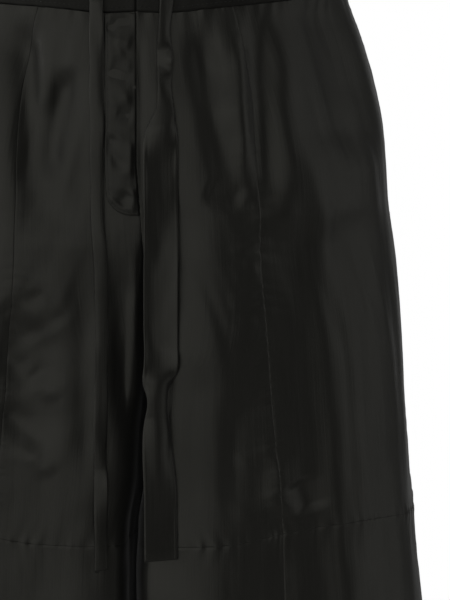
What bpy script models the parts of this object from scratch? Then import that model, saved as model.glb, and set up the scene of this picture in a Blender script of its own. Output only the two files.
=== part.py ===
"""Wide-leg satin trousers, worn and hollow, with a fly placket and two hanging ties.

Metres, +Z up. The origin is the centre of the waistband's ring, where a waist holds the garment.
The front faces -Y and the wearer's left leg lies at +X. Each leg is a ring of three panels
that runs from the centre front (or the inseam) round the side to the centre back, and a turn
says where on the ring a point lies: 0 at the front, 90 degrees at the side, 180 at the back.
"""

import math
from typing import NamedTuple

import bmesh
import bpy
import numpy as np

# Driving sizes
WALL = 0.0015
BAND_HEIGHT = 0.036
BAND_OUT = 0.0006
BAND_WALL = 0.0024
WAIST_Z = -0.018
WAIST_TILT = 0.010
WAIST_DIP = 0.0035
WAIST_DIP_SPREAD = 0.24
CROTCH_Z = -0.285
HEM_Z = -1.000
MIDDLE_Y = 0.012
FRONT_RISE = 0.105
BACK_RISE = 0.125
INNER_POWER = 10.0
OUTER_POWER = 2.2
SEAM_GAP = 0.0004
LEG_EASE = 0.0004
INSEAM_EASE = 0.0018
INSEAM_EASE_DROP = 0.030

FLY_LENGTH = 0.144
FLY_WIDTH = 0.0225
FLY_LIFT = 0.00035
FLY_WALL = 0.0013
NEAR_MIDDLE = 0.0113

TIE_WIDTH = 0.0253
TIE_WALL = 0.0012
TIE_FLATTEN = 0.65
TIE_SLANT = 0.004
SWING_BACK = 0.09
SWING_OUT = 0.35

# Grid of each panel
CENTRE_MARKS = ("inner_front", "near_front", "fly_edge", "panel")
CENTRE_COLUMNS = (5, 3, 7)
FLY_COLUMNS = 8
SIDE_MARKS = ("panel", "side")
SIDE_COLUMNS = (9,)
BACK_MARKS = ("side", "near_back", "inner_back")
BACK_COLUMNS = (11, 4)
BAND_COLUMNS = (12,)
BAND_ROWS = 2
FLY_ROWS = 10
CURVE_ROWS = 7
THIGH_ROWS = 4
SHIN_ROWS = 8
TIE_COLUMNS = 12
TIE_ROWS = 30

BLACK_SATIN = (0.010, 0.010, 0.0095, 1.0)
SATIN_ROUGHNESS = 0.38


class Section(NamedTuple):
    """Half-widths of the pair of legs at a height, and how far out the frontmost line lies."""

    z: float
    side: float
    front: float
    back: float
    peak: float


SECTIONS = (
    Section(0.034, 0.1452, 0.1030, 0.099, 0.16),
    Section(0.000, 0.1505, 0.1062, 0.104, 0.20),
    Section(-0.030, 0.1572, 0.1108, 0.112, 0.25),
    Section(-0.060, 0.1680, 0.1150, 0.124, 0.31),
    Section(-0.090, 0.1768, 0.1180, 0.134, 0.38),
    Section(-0.120, 0.1840, 0.1197, 0.141, 0.45),
    Section(-0.150, 0.1873, 0.1200, 0.145, 0.53),
    Section(-0.180, 0.1890, 0.1190, 0.1460, 0.640),
    Section(-0.225, 0.1942, 0.1180, 0.1415, 0.810),
    Section(-0.260, 0.1970, 0.1170, 0.1350, 0.930),
    Section(-0.290, 0.1988, 0.1158, 0.1295, 0.985),
    Section(-0.330, 0.2015, 0.1140, 0.1240, 1.000),
    Section(-0.370, 0.2050, 0.1122, 0.1205, 1.000),
    Section(-0.420, 0.2098, 0.1110, 0.119, 1.00),
    Section(-0.490, 0.2165, 0.1120, 0.119, 1.00),
    Section(-0.700, 0.2340, 0.1180, 0.124, 1.00),
    Section(-1.000, 0.2570, 0.1270, 0.132, 1.00),
)


class Seam(NamedTuple):
    """How far out the vertical seam between the centre and side front panels lies."""

    z: float
    x: float


PANEL_SEAM = (
    Seam(-0.020, 0.0670),
    Seam(-0.050, 0.0765),
    Seam(-0.073, 0.0816),
    Seam(-0.116, 0.0859),
    Seam(-0.167, 0.0874),
    Seam(-0.210, 0.0888),
    Seam(-0.260, 0.0924),
    Seam(-0.310, 0.0960),
    Seam(-0.360, 0.1010),
    Seam(-0.405, 0.1055),
    Seam(-0.460, 0.1075),
    Seam(-1.000, 0.1280),
)


class KneePoint(NamedTuple):
    """Height of the seam above the knee, round the leg."""

    degrees: float
    z: float


KNEE_SEAM = (
    KneePoint(-90, -0.4175),
    KneePoint(-28, -0.4180),
    KneePoint(-12, -0.4160),
    KneePoint(2, -0.4110),
    KneePoint(30, -0.4065),
    KneePoint(60, -0.4090),
    KneePoint(90, -0.4125),
    KneePoint(180, -0.4140),
    KneePoint(270, -0.4175),
)


class Sway(NamedTuple):
    """How far the line where the legs meet leans to the wearer's left."""

    z: float
    x: float


SWAY = (
    Sway(-0.140, 0.0000),
    Sway(-0.180, 0.0028),
    Sway(-0.238, 0.0070),
    Sway(-0.289, 0.0090),
    Sway(-0.340, 0.0042),
    Sway(-0.377, 0.0022),
    Sway(-0.403, -0.0018),
    Sway(-0.425, -0.0035),
    Sway(-0.500, -0.0037),
    Sway(-0.620, 0.0000),
)
SWAY_SPREAD = 0.060
INNER_BULGE = 0.008
INNER_BULGE_DEPTH = 0.085
INNER_BULGE_FROM = -0.27
INNER_BULGE_FULL = -0.33


class Fold(NamedTuple):
    """A long ridge (height above 0) or trough (below 0) from its top end to its bottom end."""

    x_top: float
    z_top: float
    x_bottom: float
    z_bottom: float
    spread: float
    height: float


FRONT_FOLDS = (
    # the wearer's left leg
    Fold(0.061, -0.069, 0.035, -1.033, 0.0251, 0.0072),
    Fold(0.050, -0.040, 0.081, -0.202, 0.0090, -0.0038),
    Fold(0.085, -0.014, 0.096, -0.182, 0.0090, -0.0038),
    Fold(0.134, -0.171, 0.167, -1.046, 0.0377, -0.0120),
    Fold(0.132, -0.173, 0.217, -1.042, 0.0094, 0.0040),
    Fold(0.125, -0.005, 0.164, -0.151, 0.0271, -0.0103),
    # the wearer's right leg
    Fold(-0.082, -0.027, -0.063, -0.199, 0.0189, -0.0073),
    Fold(-0.047, -0.065, -0.043, -0.177, 0.0108, -0.0045),
    Fold(-0.041, -0.165, -0.047, -1.029, 0.0134, 0.0025),
    Fold(-0.018, -0.201, 0.005, -0.332, 0.0090, -0.0017),
    Fold(-0.078, -0.240, -0.090, -0.356, 0.0183, -0.0077),
    Fold(-0.114, -0.123, -0.172, -1.042, 0.0118, -0.0049),
)

BACK_FOLDS = (
    Fold(0.052, -0.190, 0.060, -1.060, 0.026, 0.006),
    Fold(-0.055, -0.200, -0.058, -1.060, 0.026, 0.006),
    Fold(0.108, -0.180, 0.126, -1.060, 0.024, -0.009),
    Fold(-0.112, -0.190, -0.130, -1.060, 0.024, -0.009),
    Fold(0.020, -0.235, 0.075, -0.330, 0.012, -0.005),
    Fold(-0.022, -0.240, -0.078, -0.325, 0.012, -0.005),
)
FOLD_FADE = 0.035
FACING_FROM = 0.15
FACING_FULL = 0.60
FOLDS_FROM_MIDDLE = 0.014


class TieRow(NamedTuple):
    """A tie's middle at a height, how far it curls (degrees in all), its turn, and its clearance."""

    z: float
    x: float
    curl: float
    turn: float
    clear: float


LEFT_TIE = (
    TieRow(-0.006, 0.0232, 290, 28, 0.0019),
    TieRow(-0.030, 0.0215, 292, 33, 0.0019),
    TieRow(-0.050, 0.0205, 290, 28, 0.0019),
    TieRow(-0.064, 0.0202, 285, -12, 0.0019),
    TieRow(-0.078, 0.0206, 285, 30, 0.0019),
    TieRow(-0.098, 0.0204, 240, 14, 0.0020),
    TieRow(-0.114, 0.0184, 90, 10, 0.0022),
    TieRow(-0.128, 0.0172, 15, 14, 0.0022),
    TieRow(-0.165, 0.0170, -12, 17, 0.0022),
    TieRow(-0.190, 0.0170, -30, 10, 0.0022),
    TieRow(-0.215, 0.0170, -44, 2, 0.0022),
    TieRow(-0.251, 0.0170, -46, 0, 0.0022),
    TieRow(-0.284, 0.0168, -26, 10, 0.0022),
    TieRow(-0.304, 0.0155, 170, 20, 0.0022),
    TieRow(-0.335, 0.0158, 110, 20, 0.0022),
    TieRow(-0.372, 0.0164, 40, 20, 0.0022),
    TieRow(-0.427, 0.0166, -8, 16, 0.0022),
)

RIGHT_TIE = (
    TieRow(-0.006, -0.0280, 315, 0, 0.0018),
    TieRow(-0.030, -0.0280, 320, -6, 0.0018),
    TieRow(-0.064, -0.0281, 320, 6, 0.0018),
    TieRow(-0.106, -0.0280, 320, 0, 0.0018),
    TieRow(-0.164, -0.0279, 320, 2, 0.0018),
    TieRow(-0.182, -0.0274, 320, 0, 0.0018),
    TieRow(-0.205, -0.0258, 316, -6, 0.0018),
    TieRow(-0.236, -0.0254, 316, -4, 0.0018),
    TieRow(-0.308, -0.0260, 318, 0, 0.0018),
    TieRow(-0.360, -0.0268, 314, -8, 0.0018),
    TieRow(-0.400, -0.0264, 316, 16, 0.0018),
    TieRow(-0.436, -0.0264, 310, 12, 0.0018),
)


def smooth_line(rows, column):
    """Reads one column of a table at any place along its first column, without corners."""
    rows = sorted(rows)
    at = np.array([row[0] for row in rows])
    value = np.array([getattr(row, column) for row in rows])
    slope = np.gradient(value, at)

    def read(place):
        place = np.clip(place, at[0], at[-1])
        i = np.clip(np.searchsorted(at, place) - 1, 0, len(at) - 2)
        gap = at[i + 1] - at[i]
        t = (place - at[i]) / gap
        start = (1 + 2 * t) * (1 - t) ** 2 * value[i] + t * (1 - t) ** 2 * gap * slope[i]
        end = t * t * (3 - 2 * t) * value[i + 1] - t * t * (1 - t) * gap * slope[i + 1]
        return start + end

    return read


def ease(value, start, end):
    """0 before start, 1 past end, and a soft step between them."""
    t = np.clip((value - start) / (end - start), 0, 1)
    return t * t * (3 - 2 * t)


side_of = smooth_line(SECTIONS, "side")
front_of = smooth_line(SECTIONS, "front")
back_of = smooth_line(SECTIONS, "back")
peak_of = smooth_line(SECTIONS, "peak")
panel_seam_x = smooth_line(PANEL_SEAM, "x")
knee_seam_z = smooth_line(KNEE_SEAM, "z")
sway_of = smooth_line(SWAY, "x")


def height(turn, level):
    """Height at a level: -1 the band's top, 0 the waist seam, 1 the crotch, 2 the knee seam, 3 the hem."""
    turn, level = np.broadcast_arrays(turn, level)
    dip = WAIST_DIP * np.exp(-((turn / WAIST_DIP_SPREAD) ** 2))
    waist = WAIST_Z - dip - WAIST_TILT * np.cos(np.clip(turn, 0, math.pi))
    knee = knee_seam_z(np.degrees(turn))
    stops = (waist + BAND_HEIGHT, waist, np.full_like(waist, CROTCH_Z), knee, np.full_like(waist, HEM_Z))
    z = stops[0]
    for step in range(4):
        part = np.clip(level + 1 - step, 0, 1)
        z = z + part * (stops[step + 1] - stops[step])
    return z


def peak_x(z):
    """Where the front stands furthest forward: half-way out on a whole leg, nearer the middle above it."""
    return 0.5 * side_of(z) * peak_of(z)


def inset(z):
    """How far the inseam stays from the middle plane."""
    return INSEAM_EASE * ease(-z, -CROTCH_Z, INSEAM_EASE_DROP - CROTCH_Z)


def reach(z, rise):
    """Share of the depth that the crotch curve has reached: 0 at the crotch, 1 where the seam is upright."""
    up = np.clip((z - CROTCH_Z) / rise, 0, 1)
    return np.sqrt(1 - (1 - up) ** 2)


def half_section(turn, z):
    """The plain half-section at a height: x, y and the outward direction in its plane."""
    across, along = np.sin(turn), np.cos(turn)
    forward = along > 0
    depth = np.where(forward, front_of(z) + MIDDLE_Y, back_of(z) - MIDDLE_Y)
    share = np.where(forward, reach(z, FRONT_RISE), reach(z, BACK_RISE))
    middle = peak_x(z)
    spare = np.maximum(1 - share**INNER_POWER, 1e-9)
    inner = (middle - inset(z)) / spare ** (1 / INNER_POWER)
    width = np.where(across < 0, inner, side_of(z) - middle)
    power = np.where(across < 0, INNER_POWER, OUTER_POWER)
    radius = (np.abs(across / width) ** power + np.abs(along / depth) ** power) ** (-1 / power)
    x, y = radius * across, radius * along
    out_x = np.sign(x) * np.abs(x / width) ** (power - 1) / width
    out_y = -np.sign(y) * np.abs(y / depth) ** (power - 1) / depth
    length = np.hypot(out_x, out_y)
    return middle + x, MIDDLE_Y - y, out_x / length, out_y / length


def fold_height(folds, x, z):
    """Height of all the folds of one table at a place on the cloth."""
    total = np.zeros(np.broadcast(x, z).shape)
    for fold in folds:
        down = (fold.z_top - z) / (fold.z_top - fold.z_bottom)
        middle = fold.x_top + (fold.x_bottom - fold.x_top) * down
        fade = FOLD_FADE / (fold.z_top - fold.z_bottom)
        strength = ease(down, 0, fade) * (1 - ease(down, 1 - fade, 1))
        total = total + fold.height * strength * np.exp(-0.5 * ((x - middle) / fold.spread) ** 2)
    return total


def cloth(leg, turn, z):
    """A point of the worn cloth's outside. The leg is +1 for the wearer's left, -1 for the right."""
    x, y, out_x, out_y = half_section(turn, z)
    lift = fold_height(FRONT_FOLDS, leg * x, z) * ease(-out_y, FACING_FROM, FACING_FULL)
    lift = lift + fold_height(BACK_FOLDS, leg * x, z) * ease(out_y, FACING_FROM, FACING_FULL)
    lift = lift * ease(x, 0, FOLDS_FROM_MIDDLE)
    near_middle = np.exp(-((x / SWAY_SPREAD) ** 2))
    bulge = INNER_BULGE * ease(-z, -INNER_BULGE_FROM, -INNER_BULGE_FULL)
    bulge = bulge * np.clip(1 - ((y - MIDDLE_Y) / INNER_BULGE_DEPTH) ** 2, 0, 1)
    sway = (sway_of(z) * ease(-y, -MIDDLE_Y, 0.04) + bulge) * near_middle
    x = leg * (x + out_x * lift + LEG_EASE) + sway
    return np.stack([x, y + out_y * lift, np.broadcast_to(z, x.shape)], axis=-1)


def outward(leg, turn, z):
    """Unit direction that points out of the cloth."""
    step = 1e-4
    around = cloth(leg, turn + step, z) - cloth(leg, turn - step, z)
    upward = cloth(leg, turn, z + step) - cloth(leg, turn, z - step)
    out = leg * np.cross(around, upward)
    return out / np.linalg.norm(out, axis=-1, keepdims=True)


def edge_turn(level, at_back):
    """Turn at which a row reaches the middle plane or the inseam."""
    turn = math.pi if at_back else 0.0
    for _ in range(8):
        z = height(turn, level)
        if at_back:
            depth = (back_of(z) - MIDDLE_Y) * reach(z, BACK_RISE)
            turn = math.pi + math.atan2(peak_x(z) - inset(z), depth)
        else:
            depth = (front_of(z) + MIDDLE_Y) * reach(z, FRONT_RISE)
            turn = -math.atan2(peak_x(z) - inset(z), depth)
    return turn


class Row:
    """One row round a leg: its turns, the run of cloth along it, and where its seams lie on that run."""

    def __init__(self, level):
        self.level = level
        self.turns = np.linspace(edge_turn(level, False), edge_turn(level, True), 900)
        z = height(self.turns, level)
        x, y = half_section(self.turns, z)[:2]
        self.run = np.concatenate([[0], np.cumsum(np.hypot(np.diff(x), np.diff(y)))])
        front = self.turns <= math.pi / 2
        self.seams = {
            "inner_front": 0.0,
            "near_front": np.interp(NEAR_MIDDLE, x[front], self.run[front]),
            "panel": np.interp(0, (x - panel_seam_x(z))[front], self.run[front]),
            "side": np.interp(math.pi / 2, self.turns, self.run),
            "near_back": np.interp(-NEAR_MIDDLE, -x[~front], self.run[~front]),
            "inner_back": self.run[-1],
        }
        self.seams["fly_edge"] = self.seams["near_front"] + FLY_WIDTH - NEAR_MIDDLE

    def turns_between(self, marks, columns):
        """Turns of the columns between marked places of the row, less the seams' gaps at both ends."""
        places = [self.seams[mark] for mark in marks]
        places[0] += SEAM_GAP / 2
        places[-1] -= SEAM_GAP / 2
        stretches = zip(places, places[1:], columns)
        run = [np.linspace(start, end, count, endpoint=False) for start, end, count in stretches]
        return np.interp(np.concatenate(run + [places[-1:]]), self.run, self.turns)


def row_levels():
    """Levels of the upper rows: even down the fly, by the crotch curve's slope, even to the knee."""
    fly = np.linspace(0, FLY_LENGTH / (WAIST_Z - WAIST_TILT - CROTCH_Z), FLY_ROWS + 1)
    angles = np.linspace(math.pi / 2, 0, CURVE_ROWS + 1)
    curve = 1 - (1 - fly[-1]) * (1 - np.cos(angles))
    thigh = np.linspace(1, 2, THIGH_ROWS + 1)
    return np.concatenate([fly, curve[1:], thigh[1:]])


UPPER_LEVELS = row_levels()
LOWER_LEVELS = np.linspace(2, 3, SHIN_ROWS + 1)
BAND_LEVELS = np.linspace(-1, 0, BAND_ROWS + 1)


def panel_grid(leg, levels, marks, columns):
    """Points and outward directions of a panel, row by row from its top."""
    points, directions = [], []
    for level in levels:
        turns = Row(level).turns_between(marks, columns)
        z = height(turns, level)
        z = z - SEAM_GAP / 2 * (level == levels[0]) + SEAM_GAP / 2 * (level == levels[-1])
        points.append(cloth(leg, turns, z))
        directions.append(outward(leg, turns, z))
    return np.array(points), np.array(directions)


def satin(name):
    """Its own plain black satin for each piece."""
    material = bpy.data.materials.new(name)
    material.use_nodes = True
    shader = material.node_tree.nodes["Principled BSDF"]
    shader.inputs["Base Color"].default_value = BLACK_SATIN
    shader.inputs["Roughness"].default_value = SATIN_ROUGHNESS
    shader.inputs["Metallic"].default_value = 0.0
    return material


def cloth_piece(name, outer, inner, keep=None):
    """A closed piece of cloth between two grids of points, less the cells outside keep."""
    rows, columns = outer.shape[0] - 1, outer.shape[1] - 1
    piece = bmesh.new()
    bmesh.ops.create_grid(piece, x_segments=columns, y_segments=rows, size=1.0)
    place = piece.verts.layers.int.new("place")
    cut = []
    for vert in piece.verts:
        column = round((vert.co.x + 1) / 2 * columns)
        row = round((1 - vert.co.y) / 2 * rows)
        vert[place] = row * (columns + 1) + column
        if keep is not None and not keep[row, column]:
            cut.append(vert)
    outer_points = outer.reshape(-1, 3)
    inner_points = inner.reshape(-1, 3)
    for vert in piece.verts:
        vert.co = outer_points[vert[place]]
    if cut:
        corners = [face for face in piece.faces if sum(vert in cut for vert in face.verts) == 1]
        for face in corners:
            lost = next(vert for vert in face.verts if vert in cut)
            near = {edge.other_vert(lost) for edge in lost.link_edges}
            beside = [vert for vert in face.verts if vert in near]
            bmesh.utils.face_split(face, beside[0], beside[1])
        bmesh.ops.delete(piece, geom=cut, context="VERTS")
    made = bmesh.ops.extrude_face_region(piece, geom=piece.faces[:])
    for vert in (item for item in made["geom"] if isinstance(item, bmesh.types.BMVert)):
        vert.co = inner_points[vert[place]]
    bmesh.ops.recalc_face_normals(piece, faces=piece.faces)
    mesh = bpy.data.meshes.new(name)
    piece.to_mesh(mesh)
    piece.free()
    mesh.materials.append(satin(name))
    mesh.shade_smooth()
    mesh.set_sharp_from_angle(angle=math.radians(40))
    obj = bpy.data.objects.new(name, mesh)
    bpy.context.collection.objects.link(obj)
    obj.parent = garment
    return obj


def panel(name, grid, lift=0.0, wall=WALL):
    """A panel whose outside lies on its grid, moved out by lift."""
    points, directions = grid
    return cloth_piece(name, points + directions * lift, points + directions * (lift - wall))


def leg_panels(leg, suffix):
    """The six panels of a leg. Returns the grid of the centre front one, which carries the fly."""
    centre = panel_grid(leg, UPPER_LEVELS, CENTRE_MARKS, CENTRE_COLUMNS)
    panel("front_centre_upper_" + suffix, centre)
    panel("front_side_upper_" + suffix, panel_grid(leg, UPPER_LEVELS, SIDE_MARKS, SIDE_COLUMNS))
    panel("back_upper_" + suffix, panel_grid(leg, UPPER_LEVELS, BACK_MARKS, BACK_COLUMNS))
    panel("front_centre_lower_" + suffix, panel_grid(leg, LOWER_LEVELS, CENTRE_MARKS, CENTRE_COLUMNS))
    panel("front_side_lower_" + suffix, panel_grid(leg, LOWER_LEVELS, SIDE_MARKS, SIDE_COLUMNS))
    panel("back_lower_" + suffix, panel_grid(leg, LOWER_LEVELS, BACK_MARKS, BACK_COLUMNS))
    return centre


def waistband():
    """Two fronts that meet at the fly and one back, all of doubled cloth that stands a little proud."""
    halves = []
    for leg, suffix in ((1, "left"), (-1, "right")):
        front = panel_grid(leg, BAND_LEVELS, ("inner_front", "side"), BAND_COLUMNS)
        panel("waistband_front_" + suffix, front, BAND_OUT, BAND_WALL)
        halves.append(panel_grid(leg, BAND_LEVELS, ("side", "inner_back"), BAND_COLUMNS))
    (left, left_out), (right, right_out) = halves
    middle = (left[:, -1:] + right[:, -1:]) / 2
    middle_out = (left_out[:, -1:] + right_out[:, -1:]) / 2
    points = np.concatenate([left[:, :-1], middle, right[:, -2::-1]], axis=1)
    directions = np.concatenate([left_out[:, :-1], middle_out, right_out[:, -2::-1]], axis=1)
    panel("waistband_back", (points, directions), BAND_OUT, BAND_WALL)


def fly_placket(centre):
    """The flap over the zip: the right centre panel's own points moved out, with a rounded lower corner."""
    points, directions = (grid[: FLY_ROWS + 1, : FLY_COLUMNS + 1] for grid in centre)
    keep = np.ones(points.shape[:2], bool)
    keep[-1, -3:] = False
    keep[-2, -1] = False
    under = points + directions * FLY_LIFT
    cloth_piece("fly_placket", under + directions * FLY_WALL, under, keep)


def front_y(leg, x, z):
    """How far forward the cloth stands at a place on the front."""
    turns = np.linspace(edge_at(z), math.pi / 2, 400)
    points = cloth(leg, turns, np.full_like(turns, z))
    order = np.argsort(points[:, 0])
    return np.interp(x, points[order, 0], points[order, 1])


def edge_at(z):
    """Turn of the front's inner edge at a height."""
    depth = (front_of(z) + MIDDLE_Y) * reach(z, FRONT_RISE)
    return -math.atan2(peak_x(z) - inset(z), depth)


def hang(fits, heights):
    """Lets a strip hang from where it touches: it swings back slowly and is pushed out early."""
    drops = -np.diff(heights)
    fits = fits.copy()
    for i in range(1, len(fits)):
        fits[i] = min(fits[i], fits[i - 1] + SWING_BACK * drops[i - 1])
    for i in range(len(fits) - 2, -1, -1):
        fits[i] = min(fits[i], fits[i + 1] + SWING_OUT * drops[i])
    return fits


def strip_section(curl, turn, along):
    """Cross-sections of a strip, one for each curl: flat at 0, a flattened tube near 300 degrees."""
    bend = np.outer(np.radians(curl), along / TIE_WIDTH)
    flat_x = along * np.sinc(bend / math.pi)
    flat_y = along * bend / 2 * np.sinc(bend / (2 * math.pi)) ** 2
    flat_y = flat_y * (1 - TIE_FLATTEN * ease(np.abs(curl), 60, 240))[:, None]
    turn = np.radians(turn)[:, None]
    x = flat_x * np.cos(turn) - flat_y * np.sin(turn)
    return x, flat_x * np.sin(turn) + flat_y * np.cos(turn)


def tie(name, leg, rows, slant):
    """A strip, curled lengthwise and turned as its table says, hung just in front of the cloth."""
    heights = np.linspace(rows[0].z, rows[-1].z, TIE_ROWS + 1)
    middle, curl, turn, clear = (smooth_line(rows, column)(heights) for column in TieRow._fields[1:])
    along = np.linspace(-TIE_WIDTH / 2, TIE_WIDTH / 2, TIE_COLUMNS + 1)
    x, y = strip_section(curl, turn, along)
    x = x + middle[:, None]
    fits = [np.min(front_y(leg, x[i], z) - y[i]) - clear[i] for i, z in enumerate(heights)]
    y = y + hang(np.array(fits), heights)[:, None]
    z = np.broadcast_to(heights[:, None], x.shape).copy()
    z[-1] += slant * along / TIE_WIDTH
    points = np.stack([x, y, z], axis=-1)
    down, across = np.gradient(points, axis=0), np.gradient(points, axis=1)
    out = np.cross(down, across)
    out = out / np.linalg.norm(out, axis=-1, keepdims=True)
    out = out * -np.sign(np.sum(out[..., 1]))
    cloth_piece(name, points + out * TIE_WALL / 2, points - out * TIE_WALL / 2)


def build():
    """All the pieces of the trousers."""
    leg_panels(1, "left")
    centre = leg_panels(-1, "right")
    waistband()
    fly_placket(centre)
    tie("tie_left", 1, LEFT_TIE, 0.0)
    tie("tie_right", -1, RIGHT_TIE, TIE_SLANT)


for old in list(bpy.data.objects):
    bpy.data.objects.remove(old)
garment = bpy.data.objects.new("trousers", None)
bpy.context.collection.objects.link(garment)
build()
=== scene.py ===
# %% [markdown]
# # Black satin wide-leg trousers
#
# The real thing is a pair of trousers cut from a crisp black satin: a waistband, a fly placket,
# panelled legs with a seam above the knee, and two satin ties that hang at the front. The packed
# model already holds every piece at its real size. This lesson dresses it: each piece gets a fine,
# creased shell on the same form, and one satin finish that reacts to light as the cloth does.

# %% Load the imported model
import math
from typing import NamedTuple

import bmesh
import bpy
import numpy as np
from mathutils import Matrix, Vector


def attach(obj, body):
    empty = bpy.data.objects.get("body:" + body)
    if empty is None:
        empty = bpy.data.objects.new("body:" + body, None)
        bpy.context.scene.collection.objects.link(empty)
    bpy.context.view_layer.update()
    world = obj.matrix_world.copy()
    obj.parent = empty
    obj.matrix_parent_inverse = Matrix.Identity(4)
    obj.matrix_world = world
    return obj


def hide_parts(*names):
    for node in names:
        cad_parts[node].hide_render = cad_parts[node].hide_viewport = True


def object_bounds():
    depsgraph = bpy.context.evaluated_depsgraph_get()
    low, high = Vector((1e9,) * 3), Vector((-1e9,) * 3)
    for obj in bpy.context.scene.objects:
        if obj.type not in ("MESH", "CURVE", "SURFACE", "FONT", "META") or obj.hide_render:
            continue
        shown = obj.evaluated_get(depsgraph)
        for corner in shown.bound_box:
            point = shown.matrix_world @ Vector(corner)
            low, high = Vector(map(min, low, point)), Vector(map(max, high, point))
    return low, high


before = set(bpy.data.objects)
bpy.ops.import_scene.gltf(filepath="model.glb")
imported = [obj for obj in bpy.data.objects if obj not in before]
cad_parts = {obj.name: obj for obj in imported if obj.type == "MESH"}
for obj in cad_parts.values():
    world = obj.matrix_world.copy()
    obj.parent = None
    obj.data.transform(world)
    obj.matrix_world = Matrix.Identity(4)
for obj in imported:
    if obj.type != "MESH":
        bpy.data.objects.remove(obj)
cad_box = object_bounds()
low, high = cad_box
print("nodes:", len(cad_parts), "height:", round(high.z - low.z, 3))

# %% [markdown]
# ## Camera and light
#
# The trousers were photographed from a little above the waist with a long lens, so the seams at
# the waist and above the knee dip gently towards the middle. Satin shows its folds by what it
# mirrors, so the size and place of each light matter more than its strength. Large soft boxes stand
# at the left, at the front and at the right, with dark gaps between them: faces turned to the left
# are bright, and faces turned a little to the right fall almost to black. A box overhead picks out
# the small ledges along the seams, and a narrow one at the far left draws a rim. The surroundings are
# white for the camera, and nearly dark for the cloth.

# %% Camera
CAMERA_PLACE = Vector((0.0, -2.7, 0.15))
CAMERA_AIM = Vector((0.066, 0.0, -0.2545))
CAMERA_LENS = 218.5

camera = bpy.data.objects.new("camera", bpy.data.cameras.new("camera"))
bpy.context.collection.objects.link(camera)
camera.location = CAMERA_PLACE
camera.rotation_euler = (CAMERA_AIM - CAMERA_PLACE).to_track_quat("-Z", "Y").to_euler()
camera.data.lens = CAMERA_LENS
camera.data.sensor_width = 36
bpy.context.scene.camera = camera
print("camera is", round((CAMERA_AIM - CAMERA_PLACE).length, 2), "m away")

# %% [markdown]
# ## Why the lights are large
#
# A small lamp on satin makes one hard glint, and a large soft one a broad band that follows each
# fold. Each box is given by its bearing and distance, so it can be walked round the garment.

# %% Lights and surroundings
SOFT_BOXES = {
    # name: bearing (right is positive), distance, middle height, width, height, brightness
    "left": (-46, 3.6, 0.0, 4.8, 4.4, 0.52),
    "front": (3, 3.9, 0.0, 1.9, 4.4, 0.47),
    "right": (85, 2.8, 0.0, 1.9, 3.6, 0.42),
    "rim": (-97, 3.0, 0.0, 0.7, 3.6, 1.8),
    "overhead": (-12, 1.5, 2.3, 3.2, 1.2, 0.55),
    "back": (160, 3.6, 0.0, 1.6, 3.4, 0.30),
}
LIGHT_AIM = Vector((0.0, 0.0, -0.35))

for name, (bearing, distance, middle, width, tall, bright) in SOFT_BOXES.items():
    lamp = bpy.data.lights.new(name, "AREA")
    lamp.shape = "RECTANGLE"
    lamp.size, lamp.size_y = width, tall
    lamp.energy = bright * math.pi * width * tall
    holder = bpy.data.objects.new(name, lamp)
    bpy.context.collection.objects.link(holder)
    turn = math.radians(bearing)
    holder.location = (distance * math.sin(turn), -distance * math.cos(turn), middle)
    holder.rotation_euler = (LIGHT_AIM - holder.location).to_track_quat("-Z", "Y").to_euler()

world = bpy.data.worlds.new("studio")
bpy.context.scene.world = world
world.use_nodes = True
tree = world.node_tree
tree.nodes.clear()
seen = tree.nodes.new("ShaderNodeBackground")
seen.inputs["Color"].default_value = (1, 1, 1, 1)
felt = tree.nodes.new("ShaderNodeBackground")
felt.inputs["Color"].default_value = (0.055, 0.055, 0.052, 1)
path = tree.nodes.new("ShaderNodeLightPath")
choose = tree.nodes.new("ShaderNodeMixShader")
result = tree.nodes.new("ShaderNodeOutputWorld")
tree.links.new(path.outputs["Is Camera Ray"], choose.inputs[0])
tree.links.new(felt.outputs[0], choose.inputs[1])
tree.links.new(seen.outputs[0], choose.inputs[2])
tree.links.new(choose.outputs[0], result.inputs["Surface"])
bpy.context.scene.view_settings.view_transform = "Standard"
print("soft boxes:", ", ".join(SOFT_BOXES))

# %% [markdown]
# ## A plain floor
#
# The trousers hang from the waist, so nothing of them stands on the floor. A pale round sheet a
# little below the hems gives the light something to bounce from.

# %% Floor
FLOOR_DROP = 0.03
FLOOR_RADIUS = 1.3

disc = bmesh.new()
bmesh.ops.create_circle(disc, cap_ends=True, radius=FLOOR_RADIUS, segments=96)
bmesh.ops.translate(disc, verts=disc.verts, vec=(0, 0, low.z - FLOOR_DROP))
floor_mesh = bpy.data.meshes.new("floor")
disc.to_mesh(floor_mesh)
disc.free()
floor = bpy.data.objects.new("floor", floor_mesh)
bpy.context.collection.objects.link(floor)
print("floor at", round(low.z - FLOOR_DROP, 3))

# %% [markdown]
# ## Shader maths in plain Python
#
# Node trees are easier to read as formulas. The class below wraps one socket, so that a sum or a
# product of sockets adds its Math node, and one method makes any other node from its type, its
# settings and its inputs.


# %% A small language for materials
class Sock:
    """One output socket, on which Python's operators build Math nodes."""

    def __init__(self, material, socket):
        self.material = material
        self.socket = socket

    def maths(self, operation, *others):
        inputs = dict(enumerate((self, *others)))
        return self.material.node("ShaderNodeMath", {"operation": operation}, inputs)

    def __add__(self, other):
        return self.maths("ADD", other)

    def __sub__(self, other):
        return self.maths("SUBTRACT", other)

    def __mul__(self, other):
        return self.maths("MULTIPLY", other)

    __radd__ = __add__
    __rmul__ = __mul__

    def __rsub__(self, other):
        return self * -1 + other


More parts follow.
